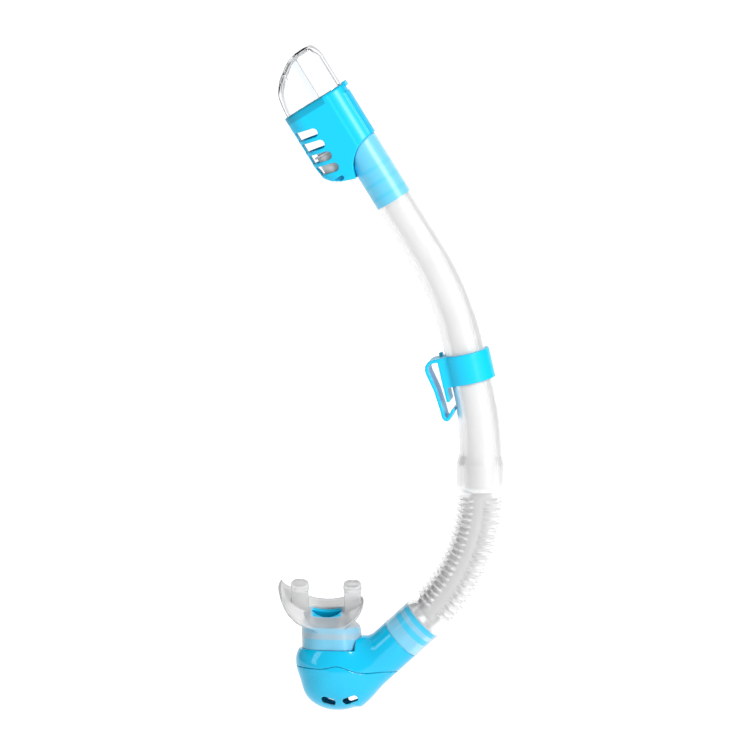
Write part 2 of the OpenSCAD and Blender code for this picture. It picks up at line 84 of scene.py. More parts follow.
swivel = next(j for j in frame["joints"] if j["name"] == "keeper_swivel")
LAND_MID = np.array([swivel["pos_m"][0], swivel["pos_m"][2]]) / MM
LAND_TOP = LAND_MID - LAND_LENGTH / 2 * down(LAND_TILT)
LAND_END = LAND_MID + LAND_LENGTH / 2 * down(LAND_TILT)
UPPER_CENTRE = LAND_TOP - UPPER_BEND * side(LAND_TILT)
HEAD_BASE = UPPER_CENTRE + UPPER_BEND * side(HEAD_TILT) - TOP_LENGTH * down(HEAD_TILT)
LOWER_CENTRE = LAND_END - LOWER_BEND * side(LAND_TILT)
BELL_TOP = LOWER_CENTRE + LOWER_BEND * side(0)
BELL_END = BELL_TOP + BELL_LENGTH * down(0)
HOSE_CENTRE = BELL_END - HOSE_BEND * side(0)
HOSE_END = HOSE_CENTRE + HOSE_BEND * side(-HOSE_TURN)
CUFF_END = HOSE_END + CUFF_LENGTH * down(-HOSE_TURN)
BOWL = CUFF_END + np.array([-42.6, -21.8])  # middle of the chamber


def along(point, tilt, lean=0):
    """Frame at a point of the XZ plane: +Z up along the tube there, +X to its back."""
    turn = Matrix.Rotation(-radians(tilt), 4, "Y") @ Matrix.Rotation(-radians(lean), 4, "X")
    return Matrix.Translation((point[0], 0, point[1])) @ turn


HEAD = along(HEAD_BASE, HEAD_TILT)
LAND = along(LAND_MID, LAND_TILT)
CHAMBER = along(BOWL, 0, NECK_LEAN)
# the mouth's frame in the bowl's: its place, a turn about the bowl's Z and a tip towards the front
MOUTH_AT, MOUTH_TURN, MOUTH_TIP = Vector((-7.6, -4, 37)), 6, 36
MOUTH = CHAMBER @ Matrix.Translation(MOUTH_AT) @ Matrix.Rotation(radians(MOUTH_TURN), 4, "Z") \
    @ Matrix.Rotation(radians(MOUTH_TIP), 4, "X")

FINE = 0.5  # distance between samples of a moulding's surface
ARC_POINTS = 9  # points on each rounded corner of an outline


# ---------------------------------------------------------------- distance fields
def smooth_min(a, b, radius):
    """Union of two fields with a fillet of about that radius."""
    h = np.clip(0.5 + 0.5 * (b - a) / radius, 0, 1)
    return b * (1 - h) + a * h - radius * h * (1 - h)


def smooth_max(a, b, radius):
    """Intersection of two fields with an edge rounded by about that radius."""
    return -smooth_min(-a, -b, radius)


def swell(v, height, centre, width):
    """A soft bulge of a curve around one place."""
    return height * np.exp(-((v - centre) / width) ** 2)


def between(v, low, high):
    """Slab from low to high."""
    return np.abs(v - (low + high) / 2) - (high - low) / 2


def rod(x, y, radius):
    """Endless cylinder."""
    return np.hypot(x, y) - radius


def oval(x, y, half_wide, half_deep):
    """Endless bar with round ends, wider in x than in y."""
    reach = half_wide - half_deep
    return np.hypot(np.maximum(np.abs(x) - reach, 0), y) - half_deep


def block(x, y, half_x, half_y, radius):
    """Rectangle with rounded corners."""
    dx = np.abs(x) - half_x + radius
    dy = np.abs(y) - half_y + radius
    return np.hypot(np.maximum(dx, 0), np.maximum(dy, 0)) + np.minimum(np.maximum(dx, dy), 0) - radius


def rounded(corners):
    """Closed outline from corners (x, z, radius), each rounded with an arc."""
    out = []
    for k, corner in enumerate(corners):
        p = np.array(corner[:2], float)
        before = np.array(corners[k - 1][:2]) - p
        after = np.array(corners[(k + 1) % len(corners)][:2]) - p
        if corner[2] == 0:
            out.append(tuple(p))
            continue
        a = before / np.linalg.norm(before)
        b = after / np.linalg.norm(after)
        half = acos(float(np.clip(a @ b, -0.9999, 0.9999))) / 2
        room = 0.49 * min(np.linalg.norm(before), np.linalg.norm(after))
        reach = min(corner[2] / tan(half), room)
        radius = reach * tan(half)
        centre = p + (a + b) / np.linalg.norm(a + b) * radius / sin(half)
        for t in np.linspace(0, 1, ARC_POINTS):
            v = (1 - t) * (p + a * reach - centre) + t * (p + b * reach - centre)
            out.append(tuple(centre + v * radius / np.linalg.norm(v)))
    return out


def stretch(x, z, start, end):
    """Distance to the stretch from start to end."""
    step = np.subtract(end, start)
    t = np.clip(((x - start[0]) * step[0] + (z - start[1]) * step[1]) / (step @ step), 0, 1)
    return np.hypot(x - start[0] - t * step[0], z - start[1] - t * step[1])


def route(x, z, points):
    """Distance to an open line of points."""
    best = np.inf
    for start, end in zip(points, points[1:]):
        best = np.minimum(best, stretch(x, z, start, end))
    return best


def outline(x, z, points):
    """Signed distance to a closed outline, negative inside."""
    inside = False
    for (ax, az), (bx, bz) in zip(points, points[1:] + points[:1]):
        if az != bz:
            inside = inside ^ (((az > z) != (bz > z)) & (x < (bx - ax) * (z - az) / (bz - az) + ax))
    best = route(x, z, points + points[:1])
    return np.where(inside, -best, best)


def seen_from(matrix, x, y, z):
    """The coordinates of points in the frame of a matrix."""
    m = np.array(matrix.inverted())
    return [m[k, 0] * x + m[k, 1] * y + m[k, 2] * z + m[k, 3] for k in range(3)]


# ---------------------------------------------------------------- meshes
PULLS, PULL_SHARE, NUDGE, FLATTEST = 4, 0.9, 0.02, 0.2  # how carve draws its points to the surface


def finish_mesh(name, points, faces, material, shade=None):
    """Smooth-shaded object from points in millimetres; shade is kept as an attribute for its material."""
    mesh = bpy.data.meshes.new(name)
    mesh.from_pydata((np.asarray(points) * MM).tolist(), [], faces)
    mesh.polygons.foreach_set("use_smooth", np.ones(len(mesh.polygons), bool))
    if shade is not None:
        layer = mesh.attributes.new("shade", "FLOAT", "POINT")
        layer.data.foreach_set("value", np.asarray(shade, np.float32))
    mesh.materials.append(material)
    piece = bpy.data.objects.new(name, mesh)
    bpy.context.scene.collection.objects.link(piece)
    return piece


def carve(name, field, place, low, high, step, material, shade=None):
    """Mesh of the surface where field(x, y, z) is zero, sampled in the frame of a matrix."""
    x, y, z = np.ogrid[tuple(slice(a, b + step, step) for a, b in zip(low, high))]
    values = np.broadcast_to(field(x, y, z), (x.size, y.size, z.size)).astype(np.float32)
    grid = openvdb.FloatGrid(2 * step)
    grid.copyFromArray(np.ascontiguousarray(np.clip(values, -2 * step, 2 * step)))
    points, quads = grid.convertToQuads(0)
    points = np.asarray(points, float) * step + np.array(low, float)
    for _ in range(PULLS):  # pull every point on to the exact surface
        here = field(*points.T)
        slope = np.stack([(field(*(points + NUDGE * axis).T) - field(*(points - NUDGE * axis).T))
                          / (2 * NUDGE) for axis in np.eye(3)], axis=1)
        steep = np.maximum((slope ** 2).sum(1), FLATTEST)
        pull = np.clip(here / steep, -step / 2, step / 2)
        points = points - PULL_SHARE * pull[:, None] * slope
    tint = None if shade is None else shade(*points.T)
    m = np.array(place)
    world = points @ m[:3, :3].T + m[:3, 3]
    faces = np.asarray(quads)[:, ::-1]
    a, b, c = (world[faces[:, k]] for k in range(3))
    if (np.cross(b - a, c - a) * a).sum() < 0:
        faces = faces[:, ::-1]
    return finish_mesh(name, world, faces.tolist(), material, tint)


def sweep(name, rings, material, shade=None):
    """Tube through rings of the same number of points; the last ring joins the first."""
    count, turn = len(rings), len(rings[0])
    points = np.concatenate(rings)
    faces = []
    for i in range(count):
        j = (i + 1) % count
        for k in range(turn):
            n = (k + 1) % turn
            faces.append((i * turn + k, i * turn + n, j * turn + n, j * turn + k))
    return finish_mesh(name, points, faces, material, shade)


# ---------------------------------------------------------------- materials
TINT = (0.0, 0.48, 0.76)  # the blue of a moulding seen through a clear wall
PAINTED_EDGE_GREY = (0.55, 0.56, 0.57)  # painted grey outline of the frosted and silicone walls, where they turn from the eye
RELIEF_DEPTH = 0.0001  # metres


def base_material(name, colour, second, scale, roughness, spread, bump=0.0, grain=900.0):
    """Principled material with slow colour drift, uneven gloss and a fine moulded grain."""
    material = bpy.data.materials.new(name)
    material.use_nodes = True
    nodes, links = material.node_tree.nodes, material.node_tree.links
    shader = nodes["Principled BSDF"]
    place = nodes.new("ShaderNodeTexCoord")
    drift = nodes.new("ShaderNodeTexNoise")
    drift.inputs["Scale"].default_value = scale
    drift.inputs["Detail"].default_value = 4
    links.new(place.outputs["Object"], drift.inputs["Vector"])
    mix = nodes.new("ShaderNodeMix")
    mix.data_type = "RGBA"
    mix.inputs["A"].default_value = (*colour, 1)
    mix.inputs["B"].default_value = (*second, 1)
    links.new(drift.outputs["Fac"], mix.inputs["Factor"])
    links.new(mix.outputs["Result"], shader.inputs["Base Color"])
    fine = nodes.new("ShaderNodeTexNoise")
    fine.inputs["Scale"].default_value = grain
    fine.inputs["Detail"].default_value = 3
    links.new(place.outputs["Object"], fine.inputs["Vector"])
    gloss = nodes.new("ShaderNodeMapRange")
    gloss.inputs["To Min"].default_value = roughness - spread
    gloss.inputs["To Max"].default_value = roughness + spread
    links.new(fine.outputs["Fac"], gloss.inputs["Value"])
    links.new(gloss.outputs["Result"], shader.inputs["Roughness"])
    if bump:
        relief = nodes.new("ShaderNodeBump")
        relief.inputs["Strength"].default_value = bump
        relief.inputs["Distance"].default_value = RELIEF_DEPTH
        links.new(fine.outputs["Fac"], relief.inputs["Height"])
        links.new(relief.outputs["Normal"], shader.inputs["Normal"])
    return material, shader


def tinted(material, shader, colour, clear_share):
    """Colour mixed in where the part's shade attribute is above 0: mostly what lies behind a clear wall,
    and in places painted shade.
    """
    nodes, links = material.node_tree.nodes, material.node_tree.links
    layer = nodes.new("ShaderNodeAttribute")
    layer.attribute_name = "shade"
    over = nodes.new("ShaderNodeMix")
    over.data_type = "RGBA"
    over.inputs["B"].default_value = (*colour, 1)
    links.new(layer.outputs["Fac"], over.inputs["Factor"])
    links.new(shader.inputs["Base Color"].links[0].from_socket, over.inputs["A"])
    links.new(over.outputs["Result"], shader.inputs["Base Color"])
    if clear_share:
        through = nodes.new("ShaderNodeMapRange")
        through.inputs["To Min"].default_value = clear_share
        through.inputs["To Max"].default_value = 0
        links.new(layer.outputs["Fac"], through.inputs["Value"])
        links.new(through.outputs["Result"], shader.inputs["Transmission Weight"])


def painted_edge_darkening(material, shader, colour, start, end):
    """Painted dark outline in the base colour where clear walls turn away from the eye, standing in for
    the dark surroundings they reflect and bend in.
    """
    nodes, links = material.node_tree.nodes, material.node_tree.links
    facing = nodes.new("ShaderNodeLayerWeight")
    grow = nodes.new("ShaderNodeMapRange")
    grow.inputs["From Min"].default_value = start
    grow.inputs["From Max"].default_value = end
    edge = nodes.new("ShaderNodeMix")
    edge.data_type = "RGBA"
    edge.inputs["B"].default_value = (*colour, 1)
    links.new(facing.outputs["Facing"], grow.inputs["Value"])
    links.new(grow.outputs["Result"], edge.inputs["Factor"])
    links.new(shader.inputs["Base Color"].links[0].from_socket, edge.inputs["A"])
    links.new(edge.outputs["Result"], shader.inputs["Base Color"])


def cyan_plastic():
    """Opaque cyan moulding, darker where the part's shade attribute is 1; on the head this is partly
    painted shade.
    """
    material, shader = base_material(
        "cyan_plastic", (0.0, 0.48, 0.75), (0.0, 0.51, 0.79), 40, 0.38, 0.05, bump=0.05)
    # darker cyan for the head's shade attribute, which holds painted shade down its back edge
    tinted(material, shader, (0.0, 0.27, 0.42), 0)
    shader.inputs["IOR"].default_value = 1.36
    shader.inputs["Coat Weight"].default_value = 0.08
    shader.inputs["Coat Roughness"].default_value = 0.15
    return material


def blue_gloss():
    """Glossy blue moulding of the chamber."""
    material, shader = base_material(
        "blue_gloss", (0.0, 0.42, 0.68), (0.0, 0.46, 0.72), 35, 0.1, 0.03, bump=0.02)
    shader.inputs["IOR"].default_value = 1.4
    shader.inputs["Coat Weight"].default_value = 0.3
    shader.inputs["Coat Roughness"].default_value = 0.04
    return material


def clear_plastic():
    """Water-clear hard plastic."""
    material, shader = base_material(
        "clear_plastic", (0.98, 0.99, 1.0), (0.95, 0.97, 0.98), 30, 0.03, 0.01)
    shader.inputs["Transmission Weight"].default_value = 1.0
    shader.inputs["IOR"].default_value = 1.49
    # painted near-black outline where the clear wall turns from the eye
    painted_edge_darkening(material, shader, (0.05, 0.05, 0.06), 0.5, 0.8)
    return material


def frosted_plastic():
    """Half-clear frosted plastic of the tube."""
    material, shader = base_material(
        "frosted_plastic", (0.88, 0.88, 0.88), (0.84, 0.84, 0.84), 25, 0.34, 0.05, bump=0.08)
    shader.inputs["IOR"].default_value = 1.46
    tinted(material, shader, TINT, 0.5)
    # painted grey outline where the frosted wall turns from the eye
    painted_edge_darkening(material, shader, PAINTED_EDGE_GREY, 0.62, 1.0)
    return material


def silicone():
    """Half-clear silicone of the hose and mouthpiece."""
    material, shader = base_material(
        "silicone", (0.79, 0.79, 0.79), (0.73, 0.73, 0.73), 30, 0.24, 0.05, bump=0.05)
    shader.inputs["IOR"].default_value = 1.41
    tinted(material, shader, TINT, 0.6)
    # painted grey outline where the silicone wall turns from the eye
    painted_edge_darkening(material, shader, PAINTED_EDGE_GREY, 0.5, 1.0)
    return material


def milky_silicone():
    """Whiter silicone of the seals."""
    material, shader = base_material(
        "milky_silicone", (0.86, 0.88, 0.89), (0.80, 0.82, 0.84), 60, 0.4, 0.06, bump=0.1)
    shader.inputs["Transmission Weight"].default_value = 0.3
    return material


def float_foam():
    """Pale grey closed-cell foam."""
    colours = (0.50, 0.49, 0.48), (0.62, 0.61, 0.60)
    return base_material("float_foam", *colours, 90, 0.55, 0.1, bump=0.3, grain=1500)[0]


CYAN, BLUE, CLEAR, FROSTED = cyan_plastic(), blue_gloss(), clear_plastic(), frosted_plastic()
SILICONE, MILKY, FOAM = silicone(), milky_silicone(), float_foam()

# ---------------------------------------------------------------- camera, lights, floor
AZIMUTH, ELEVATION, DISTANCE = radians(8), radians(9), 4.0
VIEW_WIDTH, SENSOR_WIDTH = 0.4999, 36
AIM_SHIFT = Vector((-0.0108, 0, 0.0036))  # from the middle of the object's box
MIDDLE, LOW_MIDDLE = (-0.03, 0, 0), (-0.03, 0, -0.15)
# name, place, what it aims at, size and power
LIGHTS = (("key", (1.2, -1.1, 1.0), MIDDLE, (0.6, 0.8), 36),
          ("fill", (-1.3, -1.0, 0.5), MIDDLE, (0.4, 1.0), 3),
          ("low_kick", (0.8, -0.9, -0.15), LOW_MIDDLE, (0.25, 0.5), 2))
# name, place, turn and size of the dark flags that give clear and glossy edges their outlines
FLAGS = (("flag_left", (-0.9, 0.15, 0.42), (0, pi / 2, 0), (0.4, 1.3)),
         ("flag_right", (0.95, 0.5, 0.1), (0, pi / 2, 0), (1.5, 0.9)),
         ("flag_top", (-0.1, 0.5, 1.0), (0, 0, 0), (1.2, 0.8)))
FLAG_BLACK, WORLD_GREY, PAPER_GREY = (0.02, 0.02, 0.02, 1), (0.74, 0.74, 0.74, 1), (0.35, 0.35, 0.35, 1)
WORLD_STRENGTH, PAPER_GLOW = 0.5, 0.86
# the sweep of pale paper behind the object
PAPER_FRONT, PAPER_LEVEL, PAPER_BACK, PAPER_BEND, PAPER_HALF, PAPER_TOP = -3.2, -0.30, 0.9, 0.5, 2.2, 2.4
PAPER_STEPS = 12


def add_camera():
    """Long lens, aimed a little beside the middle of the object's box."""
    low, high = Vector(cad_box[0]), Vector(cad_box[1])
    aim = (low + high) / 2 + AIM_SHIFT
    toward = Vector((sin(AZIMUTH) * cos(ELEVATION), -cos(AZIMUTH) * cos(ELEVATION), sin(ELEVATION)))
    data = bpy.data.cameras.new("camera")
    data.sensor_width = SENSOR_WIDTH
    data.lens = data.sensor_width * DISTANCE / VIEW_WIDTH
    camera = bpy.data.objects.new("camera", data)
    camera.location = aim + DISTANCE * toward
    camera.rotation_euler = toward.to_track_quat("Z", "Y").to_euler()
    bpy.context.scene.collection.objects.link(camera)
    bpy.context.scene.camera = camera


def add_light(name, place, aim, size, power):
    """Rectangular light that faces a point."""
    data = bpy.data.lights.new(name, "AREA")
    data.shape = "RECTANGLE"
    data.size, data.size_y = size
    data.energy = power
    light = bpy.data.objects.new(name, data)
    light.location = place
    light.rotation_euler = (Vector(place) - Vector(aim)).to_track_quat("Z", "Y").to_euler()
    bpy.context.scene.collection.objects.link(light)


def add_flag(name, place, turn, size):
    """Black card that only reflections and refractions show."""
    half_x, half_y = size[0] / 2, size[1] / 2
    mesh = bpy.data.meshes.new(name)
    corners = [(-half_x, -half_y, 0), (half_x, -half_y, 0), (half_x, half_y, 0), (-half_x, half_y, 0)]
    mesh.from_pydata(corners, [], [(0, 1, 2, 3)])
    material = bpy.data.materials.new(name)
    material.use_nodes = True
    material.node_tree.nodes["Principled BSDF"].inputs["Base Color"].default_value = FLAG_BLACK
    mesh.materials.append(material)
    flag = bpy.data.objects.new(name, mesh)
    flag.location = place
    flag.rotation_euler = turn
    flag.visible_camera = False
    flag.visible_shadow = False
    bpy.context.scene.collection.objects.link(flag)


def paper_material():
    """Glowing pale paper, clear when seen from its back, so that it never hides the object."""
    material = bpy.data.materials.new("paper")
    material.use_nodes = True
    nodes, links = material.node_tree.nodes, material.node_tree.links
    shader = nodes["Principled BSDF"]
    shader.inputs["Base Color"].default_value = PAPER_GREY
    shader.inputs["Roughness"].default_value = 0.9
    shader.inputs["Emission Color"].default_value = (1, 1, 1, 1)
    shader.inputs["Emission Strength"].default_value = PAPER_GLOW
    facing = nodes.new("ShaderNodeNewGeometry")
    clear = nodes.new("ShaderNodeBsdfTransparent")
    choose = nodes.new("ShaderNodeMixShader")
    links.new(facing.outputs["Backfacing"], choose.inputs["Fac"])
    links.new(shader.outputs["BSDF"], choose.inputs[1])
    links.new(clear.outputs["BSDF"], choose.inputs[2])
    links.new(choose.outputs["Shader"], nodes["Material Output"].inputs["Surface"])
    return material


def add_paper():
    """A sweep of paper, from the floor up behind the object."""
    profile = [(PAPER_FRONT, PAPER_LEVEL)]
    for k in range(PAPER_STEPS + 1):
        turn = k / PAPER_STEPS * pi / 2
        profile.append((PAPER_BACK + PAPER_BEND * sin(turn), PAPER_LEVEL + PAPER_BEND * (1 - cos(turn))))
    profile.append((PAPER_BACK + PAPER_BEND, PAPER_TOP))
    points = [(x, y, z) for y, z in profile for x in (-PAPER_HALF, PAPER_HALF)]
    faces = [(2 * k, 2 * k + 1, 2 * k + 3, 2 * k + 2) for k in range(len(profile) - 1)]
    mesh = bpy.data.meshes.new("floor")
    mesh.from_pydata(points, [], faces)
    mesh.polygons.foreach_set("use_smooth", np.ones(len(faces), bool))
    mesh.materials.append(paper_material())
    floor = bpy.data.objects.new("floor", mesh)
    bpy.context.scene.collection.objects.link(floor)


def add_studio():
    """World light, lamps, flags and paper."""
    world = bpy.data.worlds.new("studio")
    world.use_nodes = True
    world.node_tree.nodes["Background"].inputs["Color"].default_value = WORLD_GREY
    world.node_tree.nodes["Background"].inputs["Strength"].default_value = WORLD_STRENGTH
    bpy.context.scene.world = world
    bpy.context.scene.view_settings.view_transform = "Standard"
    for light in LIGHTS:
        add_light(*light)
    for flag in FLAGS:
        add_flag(*flag)
    add_paper()


# ---------------------------------------------------------------- float head
# lengths in the head's frame: +Z up the tube from the head's base, +X towards its back
TUBE_TOP_R, FRONT_R, FRONT_REACH, RIM, SEAT = 12.6, 13.3, 21, 84, 75
CUFF_CENTRE, CUFF_R = (12.6, 20), 25.7  # circle of the curved edge where tube and head meet
CUFF_GAP_TUBE, CUFF_GAP_HEAD = 0.05, 0.08  # what the tube and the head each keep clear of it
HEAD_WALL, FLOAT_ROOM_FLOOR, SEAT_LIP = 2, 34, 1
BACK_STRIP_RISE, BACK_STRIP_HALF, BACK_STRIP_SPAN = 0.75, 7.5, (30, 78.5)
LATCH_DEEP, LATCH_HALF, LATCH_SPAN = (11.4, 14.2), 4, (81.4, 84.9)
SPIGOT_R, BARB_R, BARB_HALF, BARB_LEVELS = 11.7, 12.1, 1, (6.5, 16, 25.5)
DUCT_R, DUCT_WIDE_R, DUCT_STEP = 8.8, 10.6, 50
DRAIN_AT, DRAIN_R, DRAIN_TOP, OUTLET_AT = 22.5, 3.6, 40, (22.3, 31.2)
SLOT_COUNT, SLOT_PITCH, SLOT_R, SLOT_END, SLOT_TOP, SLOT_TILT = 4, 8.8, 3.0, 17.4, 66.2, 13
SPINE_AT, SKIRT_LEVEL = 32.5, 78.6
DOME_INSET, DOME_WALL, DOME_FOOT = 2.05, 1.5, 78.2
POST_FRONT, POST_BACK, POST_HALF, POST_FOOT = -11.3, -6.6, 1.6, 84
CAGE_SIDE = rounded([(-34.4, 84, 0), (-34.4, 45, 10), (-32.0, 36.6, 6), (-25.2, 30.4, 8), (-13, 25.9, 6),
                     (0, 24, 0), (14, 24, 0), (14, 84, 0)])
DOME_SIDE = rounded([(-32.6, 73.2, 0), (-32.6, 86, 20), (-29.0, 99.0, 16), (-21.8, 107.6, 14),
                     (-10.6, 115.4, 14), (-3.2, 117.3, 10), (5.8, 117.6, 6), (11.6, 108.5, 8),
                     (11.6, 73.2, 0)])
FLOAT_SIDE = rounded([(-27.4, 50.0, 0.6), (-29.9, 44, 8), (-29.9, 37.5, 5), (-24, 34.7, 4), (-9, 34.7, 2),
                      (-9, 50.0, 0)])
FLOAT_FRONT_R, FLOAT_DUCT_R = 9.6, 14.3


def head_section(x, y, inset=0.0):
    """Plan of the head: a round front for the float, the round duct and flats that join them."""
    tube = rod(x, y, TUBE_TOP_R - inset)
    front = rod(x + FRONT_REACH, y, FRONT_R - inset)
    flats = block(x + 9.4, y, 11.8 - inset, 13.2 - inset, 3.5)
    return smooth_min(np.minimum(front, flats), tube, 0.5)


def cage_slots(x, y, z):
    """Leaning side slots with round back ends, stopped by the spine down the front."""
    tilt = radians(SLOT_TILT)
    best = np.inf
    for k in range(SLOT_COUNT):
        dx, dz = x + SLOT_END + SLOT_R, z - SLOT_TOP + k * SLOT_PITCH
        forward = dx * cos(tilt) - dz * sin(tilt)
        across = dx * sin(tilt) + dz * cos(tilt)
        best = np.minimum(best, np.hypot(np.maximum(forward, 0), across) - SLOT_R)
    spine = block(x + SPINE_AT, y, 1.2, 2.4, 0.5)
    return np.maximum(best, -spine)


def cage_strip(x, y, z):
    """Raised strip down the head's back."""
    strip = smooth_max(rod(x, y, TUBE_TOP_R + BACK_STRIP_RISE), np.abs(y) - BACK_STRIP_HALF, 0.6)
    return np.maximum(smooth_max(strip, between(z, *BACK_STRIP_SPAN), 0.6), -x)


def cage_spigot(x, y, z):
    """Stub inside the tube's cuff, with its barbs."""
    stub = np.maximum(rod(x, y, SPIGOT_R), between(z, 0.4, 50))
    for level in BARB_LEVELS:
        barb = np.maximum(rod(x, y, BARB_R), between(z, level - BARB_HALF, level + BARB_HALF))
        stub = np.minimum(stub, barb)
    return stub


def cage_room(x, y, z, side_view):
    """All the air: the float's room, the room over the seat, the duct, the drain and its outlets."""
    float_room = np.maximum(head_section(x, y, HEAD_WALL), side_view + HEAD_WALL)
    float_room = np.maximum(np.maximum(float_room, FLOAT_ROOM_FLOOR - z),
                            np.maximum(TUBE_TOP_R - np.hypot(x, y), x + 4))
    float_room = np.maximum(float_room, z - SEAT - SEAT_LIP)
    seat_room = np.maximum(head_section(x, y, HEAD_WALL), SEAT - z)
    duct = np.minimum(rod(x, y, DUCT_R), np.maximum(rod(x, y, DUCT_WIDE_R), DUCT_STEP - z))
    room = np.minimum(np.minimum(float_room, seat_room), duct)
    drain = np.maximum(rod(x + DRAIN_AT, y, DRAIN_R), z - DRAIN_TOP)
    outlet = np.maximum(block(x + OUTLET_AT[0], z - OUTLET_AT[1], 4.0, 1.5, 1.4), 7 - np.abs(y))
    return np.minimum(np.minimum(room, drain), outlet)


def cage(x, y, z):
    """The head's moulding, from its spigot up to its rim and latch."""
    side_view = outline(x, z, CAGE_SIDE)
    body = smooth_max(head_section(x, y), side_view, 2.2)
    body = smooth_max(body, z - RIM, 0.4)
    body = smooth_min(body, cage_strip(x, y, z), 0.3)
    cuff = rod(x - CUFF_CENTRE[0], z - CUFF_CENTRE[1], CUFF_R + CUFF_GAP_HEAD)
    cuff = np.minimum(cuff, z - CUFF_CENTRE[1])
    body = smooth_max(body, -cuff, 0.35)
    body = np.minimum(body, cage_spigot(x, y, z))
    body = smooth_max(body, -cage_room(x, y, z, side_view), 0.3)
    body = smooth_max(body, -cage_slots(x, y, z), 0.5)
    latch = smooth_max(between(x, *LATCH_DEEP), np.abs(y) - LATCH_HALF, 0.5)
    latch = smooth_max(latch, between(z, *LATCH_SPAN), 0.5)
    return np.minimum(body, latch)


def cage_shade(x, y, z):
    """Darker where the dome's skirt stands behind the wall, and painted shade down the edge at the back,
    where the round back turns from the lights.
    """
    band = np.clip((z - SKIRT_LEVEL) / 0.4, 0, 1) * np.clip((-2.5 - x) / 0.5, 0, 1)
    # painted shade: the back edge, where the head turns from the lights, is darkened
    edge = np.clip((x - 10.4) / 0.4, 0, 1)
    return np.maximum(0.75 * band, 0.3 * edge)


def dome(x, y, z):
    """Clear dome with the post under its crown and two moulding marks."""
    solid = smooth_max(head_section(x, y, DOME_INSET), outline(x, z, DOME_SIDE), 2.5)
    shell = np.maximum(solid, -(solid + DOME_WALL))
    post = smooth_max(between(x, POST_FRONT, POST_BACK), np.abs(y) - POST_HALF, 0.4)
    post = np.maximum(smooth_max(post, solid + 0.8, 0.4), POST_FOOT - z)
    marks = np.minimum(np.sqrt((x + 11.3) ** 2 + y ** 2 + (z - 116.2) ** 2) - 0.9,
                       np.sqrt((x + 14.5) ** 2 + (y + 10.8) ** 2 + (z - 109) ** 2) - 0.6)
    return np.maximum(np.minimum(smooth_min(shell, post, 0.8), marks), DOME_FOOT - z)


def float_body(x, y, z):
    """Foam float, hollowed at its back to pass the duct."""
    plan = np.minimum(rod(x + FRONT_REACH, y, FLOAT_FRONT_R), block(x + 15, y, 6, 9.4, 1))
    plan = smooth_max(plan, FLOAT_DUCT_R - np.hypot(x, y), 1.5)
    return smooth_max(plan, outline(x, z, FLOAT_SIDE), 1.6)


def add_head():
    """Cage, dome and float."""
    low, high = (-36, -15.5, -1), (16, 15.5, 86)
    piece = carve("float_cage_moulding", cage, HEAD, low, high, FINE, CYAN, cage_shade)
    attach(piece, "tube")
    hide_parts("float_cage")
    piece = carve("clear_dome", dome, HEAD, (-35, -13, 77), (12, 13, 121), FINE, CLEAR)
    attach(piece, "tube")
    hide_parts("head_dome")
    piece = carve("float_block", float_body, HEAD, (-32, -12, 33), (-7, 12, 52), FINE, FOAM)
    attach(piece, "float")
    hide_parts("float_shell")


# ---------------------------------------------------------------- tube
TUBE_R_LAND, TUBE_R_LOW, TUBE_WALL, CUFF_BORE_R = 13.6, 14.5, 2, 12.2
TOP_GROWTH, BEND_GROWTH = 0.4, 0.6  # how much the radius grows along the top stretch and the upper bend
BELL_R, BELL_BORE_R, BELL_STEP, BELL_LIP = 16.2, 13.65, 7, 24.8
# the bell: distance below its top, and outer radius
BELL_PROFILE = ((0, TUBE_R_LOW), (1, 14.6), (2, 14.9), (5, 15.8), (6, 16.08), (BELL_STEP, BELL_R),
                (10, BELL_R), (14, BELL_R), (18, BELL_R), (20.8, BELL_R), (21.6, 16.1), (22.2, 15.8),
                (24.3, 14.3), (BELL_LIP, 14.1))
CUFF_FOOT, CUFF_SOFT, CUFF_TINT, BARB_TINT = 0.3, 0.3, 0.86, 0.06
CUFF_RINGS, CUFF_BORE_RINGS = 40, 16
TOP_RINGS, UPPER_RINGS, LAND_RINGS, LOWER_RINGS = 12, 20, 8, 14
TURN = 128  # points round a ring
ANGLES = np.linspace(0, 2 * pi, TURN, endpoint=False)


def round_ring(point, tilt, radius, lift=0.0):
    """Ring of points across the tube; radius and lift may differ round the ring."""
    radius = radius * np.ones(TURN)
    lift = lift * np.ones(TURN)
    out, up = side(tilt), -down(tilt)
    x = point[0] + radius * np.cos(ANGLES) * out[0] + lift * up[0]
    z = point[1] + radius * np.cos(ANGLES) * out[1] + lift * up[1]
    return np.stack([x, radius * np.sin(ANGLES), z], axis=1)


def cuff_edge(radius):
    """Height of the cuff's curved edge above the head's base, all round."""
    reach = radius * np.cos(ANGLES) - CUFF_CENTRE[0]
    return CUFF_CENTRE[1] + np.sqrt((CUFF_R - CUFF_GAP_TUBE) ** 2 - reach ** 2)


def tube_stations():
    """Middle line from the head's base to the bell's mouth: point, tilt and outer radius."""
    out = []
    for t in np.linspace(0, 1, TOP_RINGS, endpoint=False):
        out.append((HEAD_BASE + t * TOP_LENGTH * down(HEAD_TILT), HEAD_TILT, TUBE_TOP_R + TOP_GROWTH * t))
    for t in np.linspace(0, 1, UPPER_RINGS, endpoint=False):
        tilt = HEAD_TILT + t * (LAND_TILT - HEAD_TILT)
        grown = TUBE_TOP_R + TOP_GROWTH + BEND_GROWTH * t
        out.append((UPPER_CENTRE + UPPER_BEND * side(tilt), tilt, grown))
    for t in np.linspace(0, 1, LAND_RINGS, endpoint=False):
        out.append((LAND_TOP + t * (LAND_END - LAND_TOP), LAND_TILT, TUBE_R_LAND))
    for t in np.linspace(0, 1, LOWER_RINGS, endpoint=False):
        tilt = LAND_TILT * (1 - t)
        grown = TUBE_R_LAND + (TUBE_R_LOW - TUBE_R_LAND) * t
        out.append((LOWER_CENTRE + LOWER_BEND * side(tilt), tilt, grown))
    for drop, radius in BELL_PROFILE:
        out.append((BELL_TOP + drop * down(0), 0, radius))
    return out


